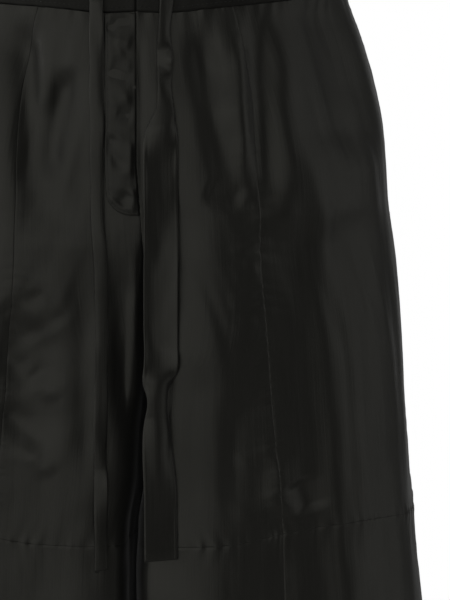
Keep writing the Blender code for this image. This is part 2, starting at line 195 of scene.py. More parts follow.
class Finish:
    """A material that is built from formulas."""

    def __init__(self, name):
        self.material = bpy.data.materials.new(name)
        self.material.use_nodes = True
        self.tree = self.material.node_tree
        self.shader = self.tree.nodes["Principled BSDF"]

    def node(self, kind, settings=None, inputs=None, output=0):
        made = self.tree.nodes.new(kind)
        for key, value in (settings or {}).items():
            if key == "stops":
                for stop, (place, shade) in zip(made.color_ramp.elements, value):
                    stop.position = place
                    stop.color = (shade, shade, shade, 1)
            else:
                setattr(made, key, value)
        for key, value in (inputs or {}).items():
            self.plug(value, made.inputs[key])
        return Sock(self, made.outputs[output])

    def plug(self, value, socket):
        if isinstance(value, Sock):
            self.tree.links.new(value.socket, socket)
        else:
            socket.default_value = value

    def set(self, **inputs):
        for key, value in inputs.items():
            self.plug(value, self.shader.inputs[key.replace("_", " ")])


print("materials are formulas from here on")

# %% [markdown]
# ## The satin
#
# A satin weave floats its warp threads over several wefts, so it is smooth along the cloth's length
# and shines in broad, soft streaks. On black cloth almost everything that is seen is that shine. The
# colour is therefore close to black, and the work is in the roughness and in three small reliefs:
# uneven warp threads (long thin streaks), slubs, and the weave itself, which only shows near by. The
# pattern follows each piece's own UV map, which is laid out in metres along the cloth.


# %% Satin finish
def satin(name, base=0.010, rough=0.43, streak=1.0, shine=0.55):
    cloth_finish = Finish(name)
    uv = cloth_finish.node("ShaderNodeTexCoord", output="UV")

    def noise(scale, detail=2.0, rough_share=0.55):
        spread = cloth_finish.node("ShaderNodeMapping", inputs={"Vector": uv, "Scale": scale})
        return cloth_finish.node(
            "ShaderNodeTexNoise",
            {"noise_dimensions": "2D"},
            {"Vector": spread, "Scale": 1.0, "Detail": detail, "Roughness": rough_share},
        )

    warp = noise((900, 22, 1))
    slub = noise((240, 9, 1))
    cloud = noise((30, 14, 1), 3.0)
    fine = noise((2600, 2600, 1), 1.0)
    relief = (warp - 0.5) * (0.30 * streak) + (slub - 0.5) * (0.55 * streak) + (fine - 0.5) * 0.25
    bump = cloth_finish.node(
        "ShaderNodeBump", inputs={"Height": relief, "Strength": 0.5, "Distance": 0.0005}, output="Normal"
    )
    shade = base * (0.7 + 0.3 * (warp * 0.5 + slub * 0.5) * 2)
    tint = cloth_finish.node("ShaderNodeCombineColor", inputs={0: shade, 1: shade * 0.98, 2: shade * 0.93})
    cloth_finish.set(
        Base_Color=tint,
        Roughness=rough + (warp - 0.5) * 0.10 + (cloud - 0.5) * 0.12,
        Normal=bump,
        Specular_IOR_Level=shine,
        Specular_Tint=(1.0, 0.995, 0.88, 1),
        Sheen_Weight=0.15,
        Sheen_Roughness=0.35,
    )
    return cloth_finish.material


satin_panel = satin("satin_panel")
satin_band = satin("satin_band", rough=0.50, shine=0.24)
satin_fly = satin("satin_fly", rough=0.45, shine=0.48)
satin_tie = satin("satin_tie", rough=0.38)
thread_finish = Finish("thread")
thread_finish.set(Base_Color=(0.012, 0.012, 0.011, 1), Roughness=0.35, Specular_IOR_Level=0.6)
thread = thread_finish.material
floor_finish = Finish("floor_finish")
floor_finish.set(Base_Color=(0.80, 0.79, 0.77, 1), Roughness=0.7)
floor_mesh.materials.append(floor_finish.material)
print("finishes:", len(bpy.data.materials))

# %% [markdown]
# ## The form of the worn cloth
#
# A pattern cutter would describe the trousers by their half-widths at a few heights. A short table
# does the same here, and a smooth line runs through each of its columns. At each height one leg is a
# rounded ring. Above the crotch the ring is cut open at the middle plane, where the crotch curve runs.
# A turn says where on the ring a point lies: 0 at the front, 90 degrees at the side, 180 at the back.

# %% Driving sizes, as in the model
BAND_HEIGHT = 0.036
BAND_OUT = 0.0006
WAIST_Z = -0.018
WAIST_TILT = 0.010
WAIST_DIP = 0.0035
WAIST_DIP_SPREAD = 0.24
CROTCH_Z = -0.285
HEM_Z = -1.000
MIDDLE_Y = 0.012
FRONT_RISE = 0.105
BACK_RISE = 0.125
INNER_POWER = 10.0
OUTER_POWER = 2.2
LEG_EASE = 0.0
INSEAM_EASE = 0.0018
INSEAM_EASE_DROP = 0.030
FLY_LENGTH = 0.144
FLY_WIDTH = 0.0225
FLY_CORNER = 0.017
NEAR_MIDDLE = 0.012
TIE_WIDTH = 0.0253
TIE_FLATTEN = 0.84
TIE_SLANT = 0.004
SWING_BACK = 0.09
SWING_OUT = 0.35
print("crotch", round(WAIST_Z - CROTCH_Z, 3), "m below the waist seam")

# %% [markdown]
# ## The cut, as tables
#
# A wide leg is cut from flat panels, and worn it fills out to rounded sections that widen to the
# hem. The tables give those sections, the lines of the seams, and the large folds that the cloth
# hangs in. They say the same as the solids, so that cloth and solids share one form.

# %% Sections, seams and the large folds


class Section(NamedTuple):
    """Half-widths of the pair of legs at a height, and how far out the frontmost line lies."""

    z: float
    side: float
    front: float
    back: float
    peak: float


SECTIONS = (
    Section(0.034, 0.1452, 0.1030, 0.099, 0.16),
    Section(0.000, 0.1505, 0.1062, 0.104, 0.20),
    Section(-0.030, 0.1572, 0.1108, 0.112, 0.25),
    Section(-0.060, 0.1680, 0.1150, 0.124, 0.31),
    Section(-0.090, 0.1768, 0.1180, 0.134, 0.38),
    Section(-0.120, 0.1840, 0.1197, 0.141, 0.45),
    Section(-0.150, 0.1873, 0.1200, 0.145, 0.53),
    Section(-0.180, 0.1890, 0.1190, 0.1460, 0.640),
    Section(-0.225, 0.1942, 0.1180, 0.1415, 0.810),
    Section(-0.260, 0.1970, 0.1170, 0.1350, 0.930),
    Section(-0.290, 0.1988, 0.1158, 0.1295, 0.985),
    Section(-0.330, 0.2015, 0.1140, 0.1240, 1.000),
    Section(-0.370, 0.2050, 0.1122, 0.1205, 1.000),
    Section(-0.420, 0.2098, 0.1110, 0.119, 1.00),
    Section(-0.490, 0.2165, 0.1120, 0.119, 1.00),
    Section(-0.700, 0.2340, 0.1180, 0.124, 1.00),
    Section(-1.000, 0.2570, 0.1270, 0.132, 1.00),
)


class Seam(NamedTuple):
    """How far out the vertical seam between the centre and side front panels lies."""

    z: float
    x: float


PANEL_SEAM = (
    Seam(-0.020, 0.0670),
    Seam(-0.050, 0.0765),
    Seam(-0.073, 0.0816),
    Seam(-0.116, 0.0859),
    Seam(-0.167, 0.0874),
    Seam(-0.210, 0.0888),
    Seam(-0.260, 0.0924),
    Seam(-0.310, 0.0960),
    Seam(-0.360, 0.1010),
    Seam(-0.405, 0.1055),
    Seam(-0.460, 0.1075),
    Seam(-1.000, 0.1280),
)


class KneePoint(NamedTuple):
    """Height of the seam above the knee, round the leg."""

    degrees: float
    z: float


KNEE_SEAM = (
    KneePoint(-90, -0.4175),
    KneePoint(-28, -0.4180),
    KneePoint(-12, -0.4160),
    KneePoint(2, -0.4110),
    KneePoint(30, -0.4065),
    KneePoint(60, -0.4090),
    KneePoint(90, -0.4125),
    KneePoint(180, -0.4140),
    KneePoint(270, -0.4175),
)


class Sway(NamedTuple):
    """How far the line where the legs meet leans to the wearer's left."""

    z: float
    x: float


SWAY = (
    Sway(-0.140, 0.0000),
    Sway(-0.180, 0.0028),
    Sway(-0.238, 0.0070),
    Sway(-0.289, 0.0090),
    Sway(-0.340, 0.0042),
    Sway(-0.377, 0.0022),
    Sway(-0.403, -0.0018),
    Sway(-0.425, -0.0035),
    Sway(-0.500, -0.0037),
    Sway(-0.620, 0.0000),
)
SWAY_SPREAD = 0.060
INNER_BULGE = 0.008
INNER_BULGE_DEPTH = 0.085
INNER_BULGE_FROM = -0.27
INNER_BULGE_FULL = -0.33


class Fold(NamedTuple):
    """A long ridge (height above 0) or trough (below 0) from its top end to its bottom end."""

    x_top: float
    z_top: float
    x_bottom: float
    z_bottom: float
    spread: float
    height: float


# The front folds were first placed one by one, then a program changed their numbers until their shading came
# nearer to the photo's. The creases further down were placed one by one, and that program did not change
# them.
FRONT_FOLDS = (
    # the wearer's left leg
    Fold(0.061, -0.069, 0.035, -1.033, 0.0251, 0.0072),
    Fold(0.050, -0.040, 0.081, -0.202, 0.0090, -0.0038),
    Fold(0.085, -0.014, 0.096, -0.182, 0.0090, -0.0038),
    Fold(0.134, -0.171, 0.167, -1.046, 0.0377, -0.0120),
    Fold(0.132, -0.173, 0.217, -1.042, 0.0094, 0.0040),
    Fold(0.125, -0.005, 0.164, -0.151, 0.0271, -0.0103),
    # the wearer's right leg
    Fold(-0.082, -0.027, -0.063, -0.199, 0.0189, -0.0073),
    Fold(-0.047, -0.065, -0.043, -0.177, 0.0108, -0.0045),
    Fold(-0.041, -0.165, -0.047, -1.029, 0.0134, 0.0025),
    Fold(-0.018, -0.201, 0.005, -0.332, 0.0090, -0.0017),
    Fold(-0.078, -0.240, -0.090, -0.356, 0.0183, -0.0077),
    Fold(-0.114, -0.123, -0.172, -1.042, 0.0118, -0.0049),
)

BACK_FOLDS = (
    Fold(0.052, -0.190, 0.060, -1.060, 0.026, 0.006),
    Fold(-0.055, -0.200, -0.058, -1.060, 0.026, 0.006),
    Fold(0.108, -0.180, 0.126, -1.060, 0.024, -0.009),
    Fold(-0.112, -0.190, -0.130, -1.060, 0.024, -0.009),
    Fold(0.020, -0.235, 0.075, -0.330, 0.012, -0.005),
    Fold(-0.022, -0.240, -0.078, -0.325, 0.012, -0.005),
)
FOLD_FADE = 0.035
FACING_FROM = 0.15
FACING_FULL = 0.60
FOLDS_FROM_MIDDLE = 0.014

print(len(SECTIONS), "sections,", len(FRONT_FOLDS) + len(BACK_FOLDS), "large folds")

# %% [markdown]
# ## From tables to smooth lines
#
# Cloth has no corners between one row of a table and the next, so each column is read through a curve whose
# slope changes softly from row to row.

# %% Smooth lines through the tables


def smooth_line(rows, column):
    """Reads one column of a table at any place along its first column, without corners."""
    rows = sorted(rows)
    at = np.array([row[0] for row in rows])
    value = np.array([getattr(row, column) for row in rows])
    slope = np.gradient(value, at)

    def read(place):
        place = np.clip(place, at[0], at[-1])
        i = np.clip(np.searchsorted(at, place) - 1, 0, len(at) - 2)
        gap = at[i + 1] - at[i]
        t = (place - at[i]) / gap
        start = (1 + 2 * t) * (1 - t) ** 2 * value[i] + t * (1 - t) ** 2 * gap * slope[i]
        end = t * t * (3 - 2 * t) * value[i + 1] - t * t * (1 - t) * gap * slope[i + 1]
        return start + end

    return read


def ease(value, start, end):
    """0 before start, 1 past end, and a soft step between them."""
    t = np.clip((value - start) / (end - start), 0, 1)
    return t * t * (3 - 2 * t)

side_of = smooth_line(SECTIONS, "side")
front_of = smooth_line(SECTIONS, "front")
back_of = smooth_line(SECTIONS, "back")
peak_of = smooth_line(SECTIONS, "peak")
panel_seam_x = smooth_line(PANEL_SEAM, "x")
knee_seam_z = smooth_line(KNEE_SEAM, "z")
sway_of = smooth_line(SWAY, "x")
print("half the hip is", round(float(side_of(-0.18)), 3), "m wide")

# %% [markdown]
# ## From a turn and a height to a point of cloth
#
# The ring could be drawn point by point, but a rounded rectangle written as one formula (a
# superellipse) does it for every height: a flatter one on the inner side, where the legs press
# together, and a rounder one outside. The folds are added along the direction that points out.

# %% The cloth as a formula


def height(turn, level):
    """Height at a level: -1 the band's top, 0 the waist seam, 1 the crotch, 2 the knee seam, 3 the hem."""
    turn, level = np.broadcast_arrays(turn, level)
    dip = WAIST_DIP * np.exp(-((turn / WAIST_DIP_SPREAD) ** 2))
    waist = WAIST_Z - dip - WAIST_TILT * np.cos(np.clip(turn, 0, math.pi))
    knee = knee_seam_z(np.degrees(turn))
    stops = (waist + BAND_HEIGHT, waist, np.full_like(waist, CROTCH_Z), knee, np.full_like(waist, HEM_Z))
    z = stops[0]
    for step in range(4):
        part = np.clip(level + 1 - step, 0, 1)
        z = z + part * (stops[step + 1] - stops[step])
    return z


def peak_x(z):
    """Where the front stands furthest forward: half-way out on a whole leg, nearer the middle above it."""
    return 0.5 * side_of(z) * peak_of(z)


def inset(z):
    """How far the inseam stays from the middle plane."""
    return INSEAM_EASE * ease(-z, -CROTCH_Z, INSEAM_EASE_DROP - CROTCH_Z)


def reach(z, rise):
    """Share of the depth that the crotch curve has reached: 0 at the crotch, 1 where the seam is upright."""
    up = np.clip((z - CROTCH_Z) / rise, 0, 1)
    return np.sqrt(1 - (1 - up) ** 2)


def half_section(turn, z):
    """The plain half-section at a height: x, y and the outward direction in its plane."""
    across, along = np.sin(turn), np.cos(turn)
    forward = along > 0
    depth = np.where(forward, front_of(z) + MIDDLE_Y, back_of(z) - MIDDLE_Y)
    share = np.where(forward, reach(z, FRONT_RISE), reach(z, BACK_RISE))
    middle = peak_x(z)
    spare = np.maximum(1 - share**INNER_POWER, 1e-9)
    inner = (middle - inset(z)) / spare ** (1 / INNER_POWER)
    width = np.where(across < 0, inner, side_of(z) - middle)
    power = np.where(across < 0, INNER_POWER, OUTER_POWER)
    radius = (np.abs(across / width) ** power + np.abs(along / depth) ** power) ** (-1 / power)
    x, y = radius * across, radius * along
    out_x = np.sign(x) * np.abs(x / width) ** (power - 1) / width
    out_y = -np.sign(y) * np.abs(y / depth) ** (power - 1) / depth
    length = np.hypot(out_x, out_y)
    return middle + x, MIDDLE_Y - y, out_x / length, out_y / length


def fold_height(folds, x, z):
    """Height of all the folds of one table at a place on the cloth."""
    total = np.zeros(np.broadcast(x, z).shape)
    for fold in folds:
        down = (fold.z_top - z) / (fold.z_top - fold.z_bottom)
        middle = fold.x_top + (fold.x_bottom - fold.x_top) * down
        fade = FOLD_FADE / (fold.z_top - fold.z_bottom)
        strength = ease(down, 0, fade) * (1 - ease(down, 1 - fade, 1))
        total = total + fold.height * strength * np.exp(-0.5 * ((x - middle) / fold.spread) ** 2)
    return total


def cloth(leg, turn, z):
    """A point of the worn cloth's outside. The leg is +1 for the wearer's left, -1 for the right."""
    x, y, out_x, out_y = half_section(turn, z)
    lift = fold_height(FRONT_FOLDS, leg * x, z) * ease(-out_y, FACING_FROM, FACING_FULL)
    lift = lift + fold_height(BACK_FOLDS, leg * x, z) * ease(out_y, FACING_FROM, FACING_FULL)
    lift = lift * ease(x, 0, FOLDS_FROM_MIDDLE)
    near_middle = np.exp(-((x / SWAY_SPREAD) ** 2))
    bulge = INNER_BULGE * ease(-z, -INNER_BULGE_FROM, -INNER_BULGE_FULL)
    bulge = bulge * np.clip(1 - ((y - MIDDLE_Y) / INNER_BULGE_DEPTH) ** 2, 0, 1)
    sway = (sway_of(z) * ease(-y, -MIDDLE_Y, 0.04) + bulge) * near_middle
    x = leg * (x + out_x * lift + LEG_EASE) + sway
    return np.stack([x, y + out_y * lift, np.broadcast_to(z, x.shape)], axis=-1)


def outward(leg, turn, z):
    """Unit direction that points out of the cloth."""
    step = 1e-4
    around = cloth(leg, turn + step, z) - cloth(leg, turn - step, z)
    upward = cloth(leg, turn, z + step) - cloth(leg, turn, z - step)
    out = leg * np.cross(around, upward)
    return out / np.linalg.norm(out, axis=-1, keepdims=True)


def edge_turn(level, at_back):
    """Turn at which a row reaches the middle plane or the inseam."""
    turn = math.pi if at_back else 0.0
    for _ in range(8):
        z = height(turn, level)
        if at_back:
            depth = (back_of(z) - MIDDLE_Y) * reach(z, BACK_RISE)
            turn = math.pi + math.atan2(peak_x(z) - inset(z), depth)
        else:
            depth = (front_of(z) + MIDDLE_Y) * reach(z, FRONT_RISE)
            turn = -math.atan2(peak_x(z) - inset(z), depth)
    return turn

print("front of the right knee:", cloth(-1, 0.0, -0.45).round(3))

# %% [markdown]
# ## Rows of a leg
#
# A panel is woven row by row. For each row we need to know how much cloth runs round it and where
# the seams cross it, so that every panel starts and ends exactly on its seams.

# %% Rows and the seams that cross them


class Row:
    """One row round a leg: its turns, the run of cloth along it, and where its seams lie on that run."""

    def __init__(self, level):
        self.level = level
        self.turns = np.linspace(edge_turn(level, False), edge_turn(level, True), 900)
        z = height(self.turns, level)
        x, y = half_section(self.turns, z)[:2]
        self.run = np.concatenate([[0], np.cumsum(np.hypot(np.diff(x), np.diff(y)))])
        front = self.turns <= math.pi / 2
        back = ~front
        self.seams = {
            "inner_front": 0.0,
            "near_front": np.interp(NEAR_MIDDLE, x[front], self.run[front]),
            "panel": np.interp(0, (x - panel_seam_x(z))[front], self.run[front]),
            "side": np.interp(math.pi / 2, self.turns, self.run),
            "near_back": np.interp(-NEAR_MIDDLE, -x[back], self.run[back]),
            "inner_back": self.run[-1],
        }

    def turns_between(self, marks, shares):
        """Turns and runs along marked places of the row, a list of shares for each stretch."""
        places = [self.seams[mark] for mark in marks]
        run = np.concatenate(
            [start + (end - start) * part for start, end, part in zip(places, places[1:], shares)]
        )
        return np.interp(run, self.run, self.turns), run


SEAM_LINES = (0.0004, 0.0008, 0.0013, 0.0020, 0.0030)


def even(columns, last=True):
    """Even shares of one stretch, with or without its far end."""
    return np.linspace(0, 1, columns + 1)[: None if last else -1]


def finer(shares, length, at_start=True, at_end=True):
    """The same shares, with extra lines close to the seams of a stretch of this length."""
    near = np.array(SEAM_LINES) / length
    first, last = shares[0], shares[-1]
    extra = [first + near] * at_start + [last - near] * at_end
    kept = [
        share
        for share in shares[1:-1]
        if all(np.min(np.abs(share - more)) > near[0] for more in extra)
    ]
    return np.sort(np.concatenate([[first, last], kept, *extra]))


print("cloth round half the hip:", round(Row(0.55).run[-1], 3), "m")

# %% [markdown]
# ## Small relief: rumples, ripples and creases
#
# Three kinds of small form lie on the panels. Rumples are soft random waves of slack cloth, made from
# a seeded lattice of numbers with smooth steps between them. Ripples are the uneven waves that a
# tight seam draws into satin. Creases are placed one by one, where the real garment has them.


# %% Rumples and ripples
def rumple(a, b, seed):
    """Soft random heights from -1 to 1 over lattice coordinates a and b."""
    lattice = np.random.default_rng(seed).uniform(-1, 1, (64, 64))
    low_a, low_b = np.floor(a).astype(int), np.floor(b).astype(int)
    t, u = a - low_a, b - low_b
    t, u = t * t * (3 - 2 * t), u * u * (3 - 2 * u)
    corner = [[lattice[(low_a + i) % 64, (low_b + j) % 64] for j in (0, 1)] for i in (0, 1)]
    return (corner[0][0] * (1 - t) + corner[1][0] * t) * (1 - u) + (
        corner[0][1] * (1 - t) + corner[1][1] * t
    ) * u


def ripple(place, seed):
    """An uneven wave from about -1 to 1, one wavelength for each unit of place."""
    bend = 0.23 * np.sin(2 * np.pi * place / 5.3 + seed)
    strength = 0.62 + 0.38 * np.sin(2 * np.pi * place / 3.7 + 1.7 * seed)
    return np.sin(2 * np.pi * (place + bend)) * strength


print("rumple of one place:", round(float(rumple(np.array(1.5), np.array(2.5), 1)), 3))


# %% [markdown]
# ## Creases
#
# A crease is a soft line, high or low in its middle and fading at both ends. Each row gives its
# two ends, width, height and bow. The back takes its own rows and mirrored front ones.

# %% Creases, listed one by one
class Crease(NamedTuple):
    """A short ridge (height above 0) or trough from one end to the other, bowed sideways."""

    x0: float
    z0: float
    x1: float
    z1: float
    width: float
    height: float
    bow: float = 0.0


FRONT_CREASES = (
    # the wearer's left leg, down from the waist
    Crease(0.045, -0.035, 0.067, -0.168, 0.0080, -0.0046, 0.003),
    Crease(0.058, -0.045, 0.070, -0.120, 0.0050, 0.0018),
    Crease(0.073, -0.045, 0.077, -0.150, 0.0045, 0.0024),
    Crease(0.088, -0.033, 0.095, -0.172, 0.0085, -0.0044),
    Crease(0.104, -0.050, 0.112, -0.190, 0.0100, 0.0020),
    Crease(0.049, -0.154, 0.076, -0.166, 0.0060, -0.0026, 0.002),
    Crease(0.140, -0.030, 0.156, -0.104, 0.0100, -0.0020),
    Crease(0.148, -0.130, 0.160, -0.200, 0.0100, -0.0018),
    Crease(0.042, -0.180, 0.048, -0.300, 0.0120, 0.0022),
    Crease(0.150, -0.230, 0.158, -0.380, 0.0120, 0.0020),
    Crease(0.078, -0.300, 0.066, -0.400, 0.0090, -0.0024, 0.004),
    # soft puckers beside the panel seam
    Crease(0.066, -0.203, 0.087, -0.196, 0.0055, 0.0006),
    Crease(0.068, -0.221, 0.088, -0.213, 0.0058, 0.0008),
    Crease(0.065, -0.240, 0.087, -0.234, 0.0055, 0.0006),
    Crease(0.068, -0.260, 0.088, -0.251, 0.0058, 0.0007),
    # the knot of folds above the knee
    Crease(0.070, -0.358, 0.100, -0.346, 0.0070, 0.0011, 0.004),
    Crease(0.068, -0.396, 0.104, -0.380, 0.0072, 0.0012, 0.005),
    Crease(0.102, -0.352, 0.115, -0.402, 0.0068, 0.0026, 0.004),
    Crease(0.115, -0.372, 0.126, -0.398, 0.0080, -0.0040),
    # the wearer's right leg
    Crease(-0.077, -0.036, -0.076, -0.165, 0.0065, -0.0046),
    Crease(-0.063, -0.042, -0.066, -0.105, 0.0060, 0.0022),
    Crease(-0.046, -0.068, -0.061, -0.152, 0.0065, -0.0056, 0.004),
    Crease(-0.050, -0.110, -0.048, -0.180, 0.0070, 0.0020),
    Crease(-0.094, -0.050, -0.095, -0.190, 0.0080, 0.0016),
    Crease(-0.036, -0.200, -0.037, -0.370, 0.0090, -0.0042),
    Crease(-0.012, -0.205, -0.005, -0.330, 0.0080, -0.0044, 0.002),
    Crease(-0.025, -0.250, -0.022, -0.350, 0.0065, 0.0022),
    Crease(-0.059, -0.215, -0.056, -0.330, 0.0080, 0.0018),
    # crumples across the thigh
    Crease(-0.098, -0.238, -0.071, -0.267, 0.0070, -0.0030, 0.003),
    Crease(-0.078, -0.230, -0.056, -0.258, 0.0065, -0.0024, -0.002),
    Crease(-0.100, -0.270, -0.067, -0.298, 0.0070, -0.0034, 0.004),
    Crease(-0.082, -0.283, -0.056, -0.309, 0.0060, 0.0020, 0.002),
    Crease(-0.100, -0.316, -0.071, -0.348, 0.0068, -0.0030, -0.003),
    Crease(-0.085, -0.338, -0.060, -0.364, 0.0060, 0.0018, 0.003),
)

BACK_CREASES = (
    Crease(0.018, -0.240, 0.080, -0.300, 0.0060, -0.0026, 0.008),
    Crease(0.030, -0.262, 0.090, -0.322, 0.0060, 0.0020, 0.006),
    Crease(-0.020, -0.245, -0.084, -0.296, 0.0060, -0.0026, -0.008),
    Crease(-0.034, -0.270, -0.092, -0.318, 0.0060, 0.0018, -0.006),
    Crease(0.060, -0.040, 0.070, -0.150, 0.0090, -0.0016),
    Crease(-0.064, -0.040, -0.072, -0.160, 0.0090, -0.0016),
    Crease(0.100, -0.420, 0.060, -0.520, 0.0120, 0.0026, 0.006),
    Crease(-0.110, -0.430, -0.070, -0.540, 0.0120, 0.0026, -0.006),
)


TURNED_SHARE = 0.85
TURNED_DROP = 0.030
TURNED_WIDTH = 0.0055


def turned_over(creases):
    """The wider front creases for the back of the garment: mirrored, softer and lower."""
    return tuple(
        crease._replace(
            x0=-crease.x0,
            z0=crease.z0 - TURNED_DROP,
            x1=-crease.x1,
            z1=crease.z1 - TURNED_DROP,
            height=crease.height * TURNED_SHARE,
            bow=-crease.bow,
        )
        for crease in creases
        if crease.width >= TURNED_WIDTH
    )


BACK_CREASES = BACK_CREASES + turned_over(FRONT_CREASES)


def crease_height(creases, x, z):
    """Height of all the creases of one table at a place."""
    total = np.zeros(np.broadcast(x, z).shape)
    for crease in creases:
        run_x, run_z = crease.x1 - crease.x0, crease.z1 - crease.z0
        length = math.hypot(run_x, run_z)
        along = ((x - crease.x0) * run_x + (z - crease.z0) * run_z) / length**2
        off = ((x - crease.x0) * run_z - (z - crease.z0) * run_x) / length
        off = off - crease.bow * np.sin(np.pi * np.clip(along, 0, 1))
        strength = ease(along, -0.05, 0.25) * (1 - ease(along, 0.75, 1.05))
        total = total + crease.height * strength * np.exp(-0.5 * (off / crease.width) ** 2)
    return total


print(len(FRONT_CREASES), "creases at the front,", len(BACK_CREASES), "at the back")

# %% [markdown]
# ## What a seam does to satin
#
# Wherever two panels are sewn, the cloth dips into the seam, and the thread, a little too tight for
# such slippery cloth, draws it into short ripples that run away from the seam and fade. Each seam has
# its own strength and wavelength, and the strength changes along it.


# %% Relief of a panel
SEAM_DIP = 0.00016
SEAM_DIP_WIDTH = 0.0009
SEAM_LEDGE = 0.00065
SEAM_LEDGE_RISE = 0.0012
SEAM_LEDGE_REACH = 0.0060
LEVEL_SEAMS = ("waist", "knee", "hem")


class Pucker(NamedTuple):
    """Ripples of a seam: height, reach, wavelength, and the height at which they are strongest."""

    height: float
    reach: float
    wave: float
    strongest: float
    seed: float


PUCKERS = {
    "inner_front": Pucker(0.0004, 0.010, 0.013, -0.35, 0.4),
    "panel": Pucker(0.0010, 0.010, 0.0100, -0.225, 1.3),
    "side": Pucker(0.0006, 0.010, 0.014, -0.38, 2.2),
    "inner_back": Pucker(0.0006, 0.012, 0.013, -0.30, 3.1),
    "knee": Pucker(0.0006, 0.006, 0.0105, -0.41, 4.0),
    "waist": Pucker(0.0005, 0.012, 0.012, -0.02, 5.2),
    "hem": Pucker(0.0003, 0.010, 0.012, -1.0, 6.1),
}
PUCKER_SHARE = {("panel", -1): 0.25}
PUCKER_SPREAD = 0.055
PUCKER_REST = 0.3
GATHER_HEIGHT = 0.00024
GATHER_WAVE = 0.0056
GATHER_REACH = 0.0035
KNEE_SLACK_Z = -0.40
KNEE_SLACK_SPREAD = 0.09


def seam_relief(name, away, along, z, leg):
    """Dip and ripples beside one seam, away from it and along it in metres."""
    pucker = PUCKERS[name]
    wave = ripple((along + 0.25 * away) / pucker.wave, pucker.seed + leg)
    strong = PUCKER_REST + (1 - PUCKER_REST) * np.exp(-(((z - pucker.strongest) / PUCKER_SPREAD) ** 2))
    gather = GATHER_HEIGHT * ripple(along / GATHER_WAVE, 2.3 * pucker.seed) * np.exp(-away / GATHER_REACH)
    share = PUCKER_SHARE.get((name, leg), 1.0)
    ripples = share * pucker.height * strong * wave * np.exp(-away / pucker.reach)
    dip = 0.0 if name in LEVEL_SEAMS else SEAM_DIP
    return ripples + gather - dip * np.exp(-((away / SEAM_DIP_WIDTH) ** 2))


def ledge(away, along):
    """The allowances are pressed down, so the cloth below a level seam starts with a low step."""
    rise = 1 - np.exp(-((away / SEAM_LEDGE_RISE) ** 2))
    drawn = 0.75 + 0.35 * ripple(along / 0.0125, 2.7)
    return SEAM_LEDGE * drawn * rise * np.exp(-away / SEAM_LEDGE_REACH)


def slack(leg, turn, z):
    """Soft waves of slack cloth: broad ones, upright ones, and a slight crumple near the knee seam."""
    around = turn * 0.11
    broad = 0.0011 * rumple(around / 0.045 + 7 * leg, z / 0.075, 11)
    upright = 0.0008 * rumple(around / 0.013 + 5 * leg, z / 0.085, 23)
    drawn = 0.0002 * rumple(around / 0.0055 + 9 * leg, z / 0.060, 29)
    crumple = 0.0005 * rumple(around / 0.018 + 3 * leg, z / 0.020 + around / 0.05, 37)
    near_knee = np.exp(-(((z - KNEE_SLACK_Z) / KNEE_SLACK_SPREAD) ** 2))
    return broad + upright + drawn + crumple * (0.35 + 0.65 * near_knee)


print("ripples for", len(PUCKERS), "kinds of seam")

# %% [markdown]
# ## Panels
#
# Every panel starts as a flat grid from bmesh, as a cut piece starts flat on the table. Its points
# are then moved to where the worn cloth holds them, and its UV map keeps the flat lay-out in metres,
# so that the weave runs along each panel. A Solidify modifier gives the wall.

# %% A grid of cloth
SHELL = 0.0008


def cloth_sheet(name, points, flat, finish, wall=SHELL, offset=-1.0):
    """A sheet through a grid of points, with its flat lay-out as the UV map."""
    rows, columns = points.shape[0] - 1, points.shape[1] - 1
    grid = bmesh.new()
    grid.loops.layers.uv.new("cloth")
    bmesh.ops.create_grid(grid, x_segments=columns, y_segments=rows, size=0.5, calc_uvs=True)
    mesh = bpy.data.meshes.new(name)
    grid.to_mesh(mesh)
    grid.free()
    corner = np.empty(len(mesh.vertices) * 3)
    mesh.vertices.foreach_get("co", corner)
    corner = corner.reshape(-1, 3)
    column = np.rint((corner[:, 0] + 0.5) * columns).astype(int)
    row = np.rint((0.5 - corner[:, 1]) * rows).astype(int)
    mesh.vertices.foreach_set("co", points[row, column].ravel())
    at_corner = np.empty(len(mesh.loops), dtype=np.int32)
    mesh.loops.foreach_get("vertex_index", at_corner)
    mesh.uv_layers["cloth"].data.foreach_set("uv", flat[row, column][at_corner].ravel())
    mesh.materials.append(finish)
    mesh.shade_smooth()
    mesh.update()
    piece = bpy.data.objects.new(name, mesh)
    bpy.context.collection.objects.link(piece)
    wall_of = piece.modifiers.new("wall", "SOLIDIFY")
    wall_of.thickness = wall
    wall_of.offset = offset
    return piece


def outward_first(points, flat, out):
    """Turns a grid over where its faces would point inwards."""
    down = points[1:, :-1] - points[:-1, :-1]
    across = points[:-1, 1:] - points[:-1, :-1]
    facing = np.sum(np.cross(down, across) * out[:-1, :-1])
    if facing < 0:
        return points[:, ::-1], flat[:, ::-1]
    return points, flat


def area_of(points):
    """Area of a grid of points."""
    down = points[1:, :-1] - points[:-1, :-1]
    across = points[:-1, 1:] - points[:-1, :-1]
    return float(np.linalg.norm(np.cross(down, across), axis=-1).sum())


def dress(name, points, flat, out, finish, area, wall=SHELL, offset=-1.0):
    points, flat = outward_first(points, flat, out)
    piece = cloth_sheet(name + "_cloth", points, flat, finish, wall, offset)
    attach(piece, "root")
    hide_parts(name)
    width, length = np.ptp(flat[..., 0]), np.ptp(flat[..., 1])
    area = min(area, width * length)
    print(name, points.shape[0] - 1, "x", points.shape[1] - 1, "area", round(area, 4))
    return piece


# %% [markdown]
# ## Stitches
#
# Black thread on black satin hardly shows, but a row of small shining dots along an edge does. Each stitch
# is a stretched ball that lies along its path, half sunk in the cloth. All stitches of a row make one mesh,
# which hangs from the same root as the cloth.

# %% Rows of stitches
STITCH_PITCH = 0.0034
STITCH_LENGTH = 0.0025
STITCH_THICK = 0.00045


